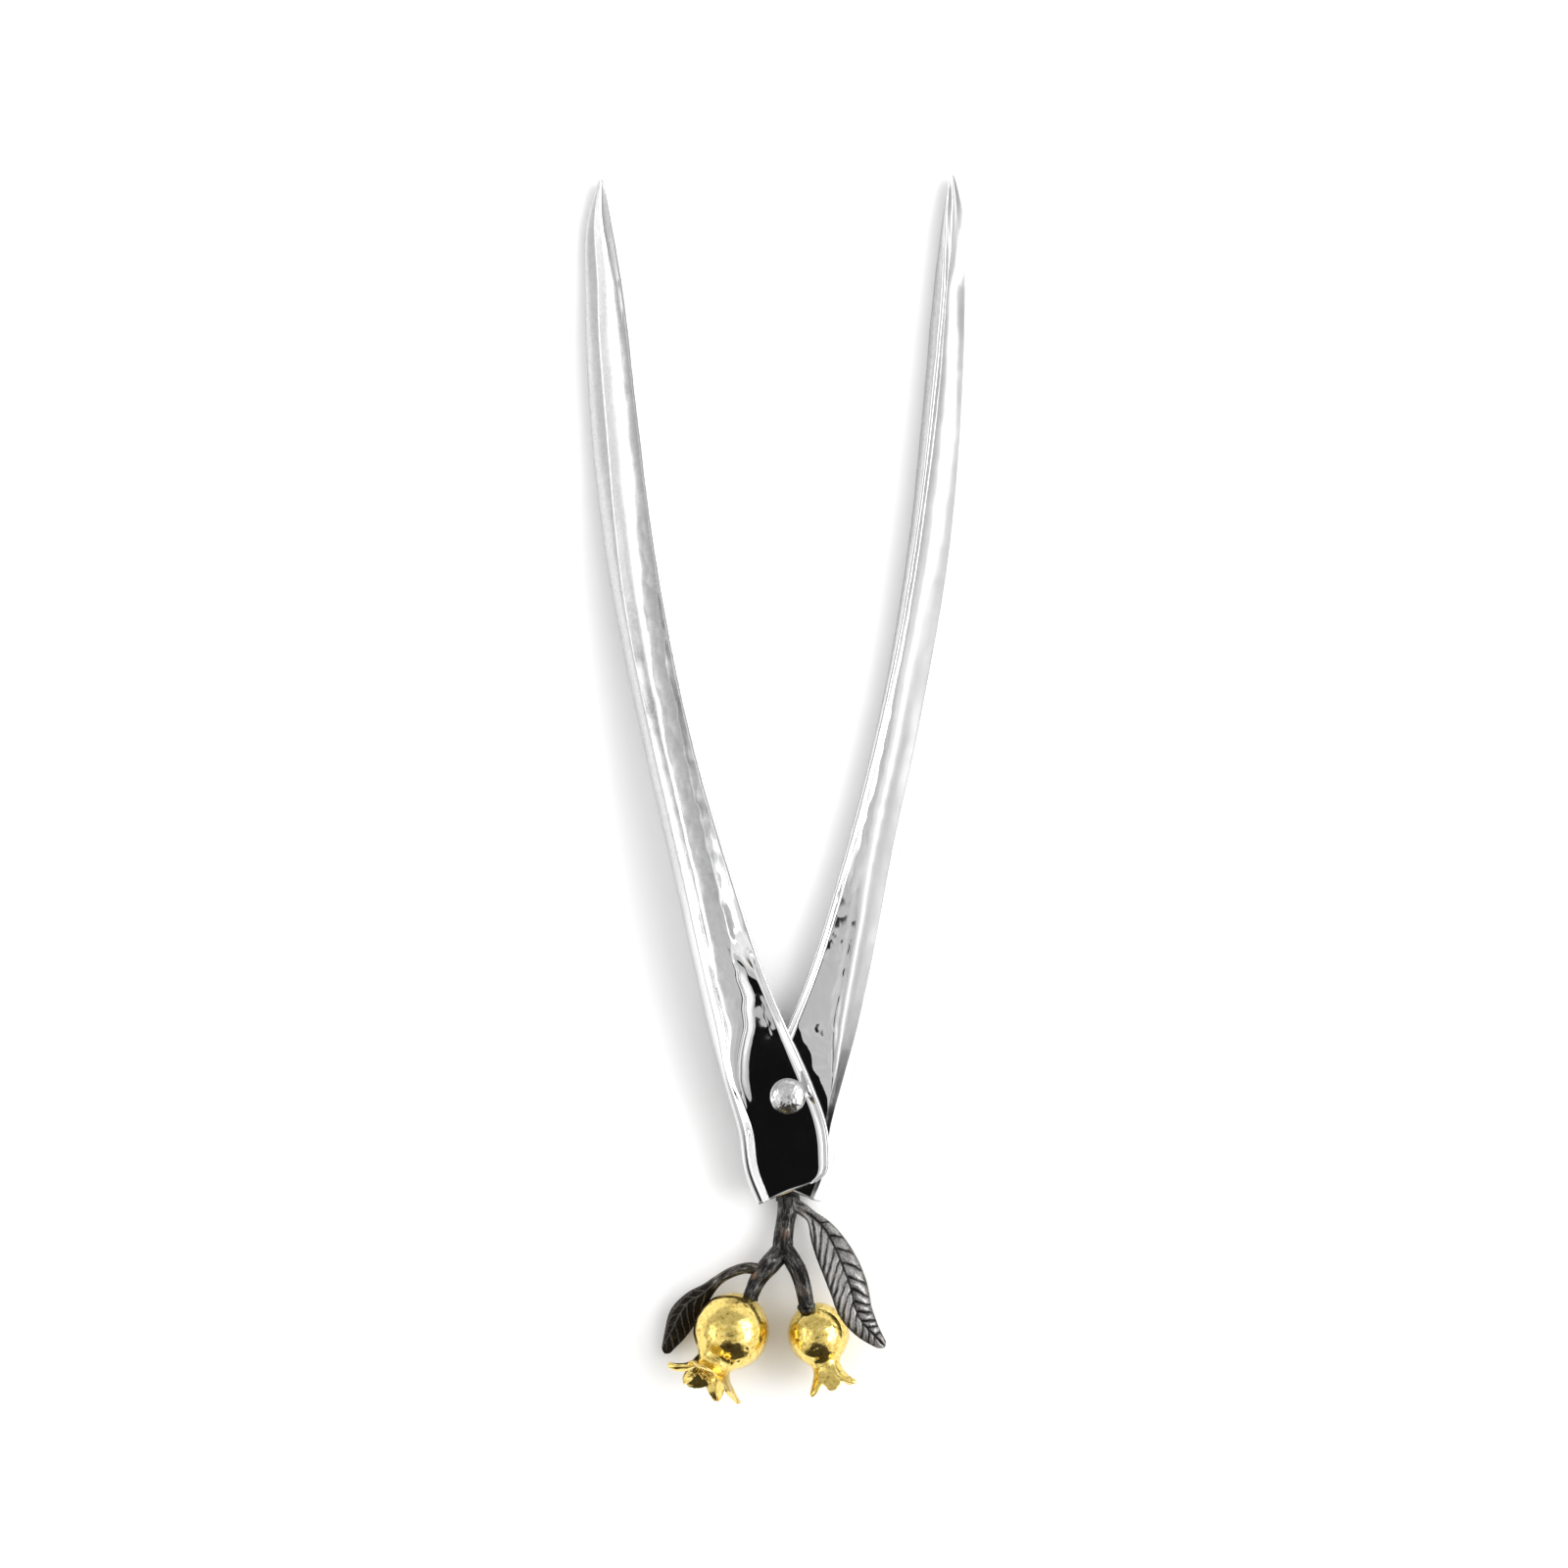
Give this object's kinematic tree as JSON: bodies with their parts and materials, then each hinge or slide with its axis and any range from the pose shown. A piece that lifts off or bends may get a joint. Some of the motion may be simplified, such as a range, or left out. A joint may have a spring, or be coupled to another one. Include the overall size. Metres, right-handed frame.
{
  "type": "nutcracker",
  "caption": "Lever nutcracker: two long pointed trough-shaped arms on one rivet, with a cast branch of two pomegranates and two leaves below the pivot.",
  "frame": {"origin": "on the rivet's axis in the plane of the table, at the flat underside of the branch's tang", "axes": "+Z along the rivet's axis, up from the table; +Y from the rivet to the arms' tips; +X to the right arm"},
  "size_m": [0.0729, 0.2288, 0.0176],
  "materials": {
    "arm_steel": "mirror polished, hand hammered along the inner half",
    "rivet_steel": "hand peened and polished",
    "washer_steel": "plain",
    "branch_black": "blackened casting with bark texture, copper where rubbed",
    "leaf_black": "blackened casting with raised veins",
    "leaf_pewter": "dark pewter casting with engraved veins and copper edges",
    "fruit_gold": "polished gold plate with casting pits",
    "stamen_gold": "gold plate, shaded",
    "peg_brass": "plain"
  },
  "bodies": {
    "spray": {"pivot_rivet": "rivet_steel", "spacer_washer": "washer_steel", "branch": "branch_black", "left_leaf": "leaf_black", "right_leaf": "leaf_pewter", "large_pomegranate": "fruit_gold", "large_crown": "fruit_gold", "large_stamens": "stamen_gold", "large_fruit_peg": "peg_brass", "small_pomegranate": "fruit_gold", "small_crown": "fruit_gold", "small_stamens": "stamen_gold", "small_fruit_peg": "peg_brass"},
    "upper_arm": {"upper_arm": "arm_steel"},
    "lower_arm": {"lower_arm": "arm_steel"}
  },
  "joints": [
    {"name": "upper_arm_pivot", "type": "hinge", "parent": "spray", "child": "upper_arm", "pos_m": [0, 0, 0], "axis": [0, 0, -1], "range_deg": [-3, 11.1]},
    {"name": "lower_arm_pivot", "type": "hinge", "parent": "spray", "child": "lower_arm", "pos_m": [0, 0, 0], "axis": [0, 0, 1], "range_deg": [-3, 9.7]}
  ]
}
